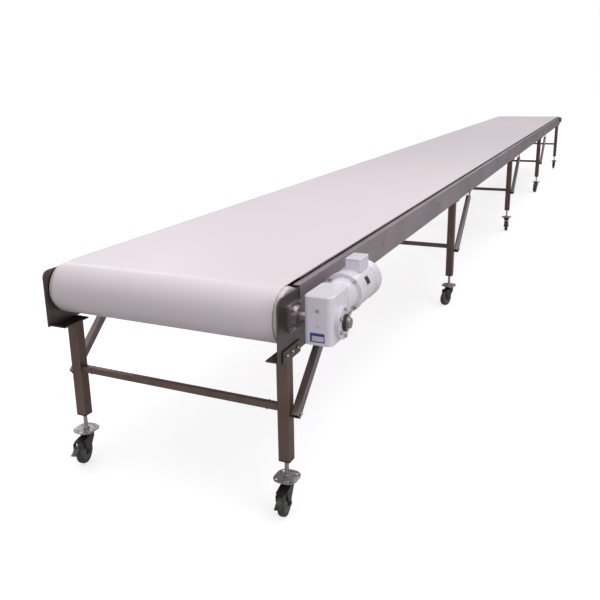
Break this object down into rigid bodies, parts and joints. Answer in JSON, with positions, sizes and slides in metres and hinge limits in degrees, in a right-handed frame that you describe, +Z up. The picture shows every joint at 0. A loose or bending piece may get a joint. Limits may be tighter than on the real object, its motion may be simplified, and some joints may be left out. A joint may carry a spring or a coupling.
{
  "type": "belt conveyor",
  "caption": "Long flat belt conveyor on castered legs, with a white belt over end pulleys and a shaft-mounted gearmotor at the drive end.",
  "frame": {"origin": "on the floor under the middle of the whole conveyor, gearmotor and take-up screws included", "axes": "+X along the belt from the drive end to the tail end, +Y across it away from the gearmotor, +Z up"},
  "size_m": [10.6284, 1.228, 0.9037],
  "materials": {
    "belt_white": "satin white belt cover",
    "stainless": "brushed stainless sheet and tube",
    "bright_steel": "machined bright steel",
    "lagging_rubber": "cream rubber lagging",
    "white_paint": "gloss white enamel",
    "dark_plug": "black moulded plug with a threaded insert",
    "caster_steel": "zinc plated steel, dull",
    "wheel_rubber": "dark grey rubber tyre"
  },
  "bodies": {
    "frame": {"belt": "belt_white", "side_rail_right": "stainless", "side_rail_left": "stainless", "slider_bed": "stainless", "cross_members": "stainless", "splice_plates": "stainless", "drive_end_plates": "stainless", "leg_frames": "stainless", "leg_plugs": "dark_plug", "head_brackets": "stainless", "knee_braces": "stainless", "frame_bolts": "stainless", "drive_bearings": "bright_steel", "takeup_frames": "stainless", "roller_axles": "stainless", "gearbox_housing": "white_paint", "motor_frame": "white_paint", "stator": "bright_steel", "fan_cover": "white_paint", "terminal_box": "white_paint", "terminal_lid": "white_paint", "torque_arm": "stainless"},
    "drive_pulley": {"drive_drum": "stainless", "drum_lagging": "lagging_rubber", "drive_shaft": "bright_steel", "ring_gear_sleeve": "bright_steel"},
    "motor_rotor": {"motor_rotor": "bright_steel"},
    "takeup": {"takeup_bearings": "stainless"},
    "tail_pulley": {"tail_pulley": "stainless"},
    "snub_roller": {"snub_roller": "stainless"},
    "return_roller_1": {"return_roller_1": "stainless"},
    "return_roller_2": {"return_roller_2": "stainless"},
    "return_roller_3": {"return_roller_3": "stainless"},
    "stems_1": {"caster_stems_1": "caster_steel"},
    "fork_1_right": {"fork_1_right": "caster_steel"},
    "wheel_1_right": {"wheel_1_right": "wheel_rubber"},
    "brake_pedal_right": {"brake_pedal_right": "caster_steel"},
    "fork_1_left": {"fork_1_left": "caster_steel"},
    "wheel_1_left": {"wheel_1_left": "wheel_rubber"},
    "brake_pedal_left": {"brake_pedal_left": "caster_steel"},
    "stems_2": {"caster_stems_2": "caster_steel"},
    "fork_2_right": {"fork_2_right": "caster_steel"},
    "wheel_2_right": {"wheel_2_right": "wheel_rubber"},
    "fork_2_left": {"fork_2_left": "caster_steel"},
    "wheel_2_left": {"wheel_2_left": "wheel_rubber"},
    "stems_3": {"caster_stems_3": "caster_steel"},
    "fork_3_right": {"fork_3_right": "caster_steel"},
    "wheel_3_right": {"wheel_3_right": "wheel_rubber"},
    "fork_3_left": {"fork_3_left": "caster_steel"},
    "wheel_3_left": {"wheel_3_left": "wheel_rubber"},
    "stems_4": {"caster_stems_4": "caster_steel"},
    "fork_4_right": {"fork_4_right": "caster_steel"},
    "wheel_4_right": {"wheel_4_right": "wheel_rubber"},
    "fork_4_left": {"fork_4_left": "caster_steel"},
    "wheel_4_left": {"wheel_4_left": "wheel_rubber"},
    "stems_5": {"caster_stems_5": "caster_steel"},
    "fork_5_right": {"fork_5_right": "caster_steel"},
    "wheel_5_right": {"wheel_5_right": "wheel_rubber"},
    "fork_5_left": {"fork_5_left": "caster_steel"},
    "wheel_5_left": {"wheel_5_left": "wheel_rubber"}
  },
  "joints": [
    {"name": "drive_spin", "type": "hinge", "parent": "frame", "child": "drive_pulley", "pos_m": [-5.18984, 0.087, 0.7497], "axis": [0, 1, 0], "continuous": true},
    {"name": "rotor_spin", "type": "hinge", "parent": "frame", "child": "motor_rotor", "pos_m": [-5.18984, -0.524, 0.7947], "axis": [1, 0, 0], "continuous": true},
    {"name": "takeup_slide", "type": "slide", "parent": "frame", "child": "takeup", "axis": [1, 0, 0], "range_m": [-0.04, 0]},
    {"name": "tail_spin", "type": "hinge", "parent": "takeup", "child": "tail_pulley", "pos_m": [5.21016, 0.087, 0.7967], "axis": [0, 1, 0], "continuous": true},
    {"name": "snub_spin", "type": "hinge", "parent": "frame", "child": "snub_roller", "pos_m": [-5.02484, 0.087, 0.6397], "axis": [0, 1, 0], "continuous": true},
    {"name": "return_spin_1", "type": "hinge", "parent": "frame", "child": "return_roller_1", "pos_m": [-3.88984, 0.087, 0.7231], "axis": [0, 1, 0], "continuous": true},
    {"name": "return_spin_2", "type": "hinge", "parent": "frame", "child": "return_roller_2", "pos_m": [-0.50984, 0.087, 0.7231], "axis": [0, 1, 0], "continuous": true},
    {"name": "return_spin_3", "type": "hinge", "parent": "frame", "child": "return_roller_3", "pos_m": [2.87016, 0.087, 0.7231], "axis": [0, 1, 0], "continuous": true},
    {"name": "leveling_1", "type": "slide", "parent": "frame", "child": "stems_1", "axis": [0, 0, -1], "range_m": [-0.03, 0.04]},
    {"name": "swivel_1_right", "type": "hinge", "parent": "stems_1", "child": "fork_1_right", "pos_m": [-5.18984, -0.372, 0.135], "axis": [0, 0, 1], "continuous": true},
    {"name": "roll_1_right", "type": "hinge", "parent": "fork_1_right", "child": "wheel_1_right", "pos_m": [-5.22351, -0.37673, 0.05], "axis": [-0.1392, 0.9903, 0], "continuous": true},
    {"name": "brake_right", "type": "hinge", "parent": "fork_1_right", "child": "brake_pedal_right", "pos_m": [-5.275, -0.38397, 0.094], "axis": [0.1392, -0.9903, 0], "range_deg": [0, 10]},
    {"name": "swivel_1_left", "type": "hinge", "parent": "stems_1", "child": "fork_1_left", "pos_m": [-5.18984, 0.546, 0.135], "axis": [0, 0, 1], "continuous": true},
    {"name": "roll_1_left", "type": "hinge", "parent": "fork_1_left", "child": "wheel_1_left", "pos_m": [-5.22283, 0.53778, 0.05], "axis": [-0.2419, 0.9703, 0], "continuous": true},
    {"name": "brake_left", "type": "hinge", "parent": "fork_1_left", "child": "brake_pedal_left", "pos_m": [-5.27328, 0.52519, 0.094], "axis": [0.2419, -0.9703, 0], "range_deg": [0, 10]},
    {"name": "leveling_2", "type": "slide", "parent": "frame", "child": "stems_2", "axis": [0, 0, -1], "range_m": [-0.03, 0.04]},
    {"name": "swivel_2_right", "type": "hinge", "parent": "stems_2", "child": "fork_2_right", "pos_m": [-2.58984, -0.372, 0.135], "axis": [0, 0, 1], "continuous": true},
    {"name": "roll_2_right", "type": "hinge", "parent": "fork_2_right", "child": "wheel_2_right", "pos_m": [-2.62179, -0.36037, 0.05], "axis": [0.342, 0.9397, 0], "continuous": true},
    {"name": "swivel_2_left", "type": "hinge", "parent": "stems_2", "child": "fork_2_left", "pos_m": [-2.58984, 0.546, 0.135], "axis": [0, 0, 1], "continuous": true},
    {"name": "roll_2_left", "type": "hinge", "parent": "fork_2_left", "child": "wheel_2_left", "pos_m": [-2.62179, 0.53437, 0.05], "axis": [-0.342, 0.9397, 0], "continuous": true},
    {"name": "leveling_3", "type": "slide", "parent": "frame", "child": "stems_3", "axis": [0, 0, -1], "range_m": [-0.03, 0.04]},
    {"name": "swivel_3_right", "type": "hinge", "parent": "stems_3", "child": "fork_3_right", "pos_m": [0.01016, -0.372, 0.135], "axis": [0, 0, 1], "continuous": true},
    {"name": "roll_3_right", "type": "hinge", "parent": "fork_3_right", "child": "wheel_3_right", "pos_m": [-0.02332, -0.3779, 0.05], "axis": [-0.1736, 0.9848, 0], "continuous": true},
    {"name": "swivel_3_left", "type": "hinge", "parent": "stems_3", "child": "fork_3_left", "pos_m": [0.01016, 0.546, 0.135], "axis": [0, 0, 1], "continuous": true},
    {"name": "roll_3_left", "type": "hinge", "parent": "fork_3_left", "child": "wheel_3_left", "pos_m": [-0.01928, 0.563, 0.05], "axis": [0.5, 0.866, 0], "continuous": true},
    {"name": "leveling_4", "type": "slide", "parent": "frame", "child": "stems_4", "axis": [0, 0, -1], "range_m": [-0.03, 0.04]},
    {"name": "swivel_4_right", "type": "hinge", "parent": "stems_4", "child": "fork_4_right", "pos_m": [2.61016, -0.372, 0.135], "axis": [0, 0, 1], "continuous": true},
    {"name": "roll_4_right", "type": "hinge", "parent": "fork_4_right", "child": "wheel_4_right", "pos_m": [2.57668, -0.3661, 0.05], "axis": [0.1736, 0.9848, 0], "continuous": true},
    {"name": "swivel_4_left", "type": "hinge", "parent": "stems_4", "child": "fork_4_left", "pos_m": [2.61016, 0.546, 0.135], "axis": [0, 0, 1], "continuous": true},
    {"name": "roll_4_left", "type": "hinge", "parent": "fork_4_left", "child": "wheel_4_left", "pos_m": [2.57935, 0.53163, 0.05], "axis": [-0.4226, 0.9063, 0], "continuous": true},
    {"name": "leveling_5", "type": "slide", "parent": "frame", "child": "stems_5", "axis": [0, 0, -1], "range_m": [-0.03, 0.04]},
    {"name": "swivel_5_right", "type": "hinge", "parent": "stems_5", "child": "fork_5_right", "pos_m": [5.21016, -0.372, 0.135], "axis": [0, 0, 1], "continuous": true},
    {"name": "roll_5_right", "type": "hinge", "parent": "fork_5_right", "child": "wheel_5_right", "pos_m": [5.24365, -0.3661, 0.05], "axis": [0.1736, -0.9848, 0], "continuous": true},
    {"name": "swivel_5_left", "type": "hinge", "parent": "stems_5", "child": "fork_5_left", "pos_m": [5.21016, 0.546, 0.135], "axis": [0, 0, 1], "continuous": true},
    {"name": "roll_5_left", "type": "hinge", "parent": "fork_5_left", "child": "wheel_5_left", "pos_m": [5.24365, 0.5401, 0.05], "axis": [-0.1736, -0.9848, 0], "continuous": true}
  ],
  "couplings": [
    {"joint": "rotor_spin", "follows": "drive_spin", "ratio": -4},
    {"joint": "tail_spin", "follows": "drive_spin", "ratio": 1.9073},
    {"joint": "snub_spin", "follows": "drive_spin", "ratio": -2.4824},
    {"joint": "return_spin_1", "follows": "drive_spin", "ratio": -4.5321},
    {"joint": "return_spin_2", "follows": "drive_spin", "ratio": -4.5321},
    {"joint": "return_spin_3", "follows": "drive_spin", "ratio": -4.5321}
  ]
}
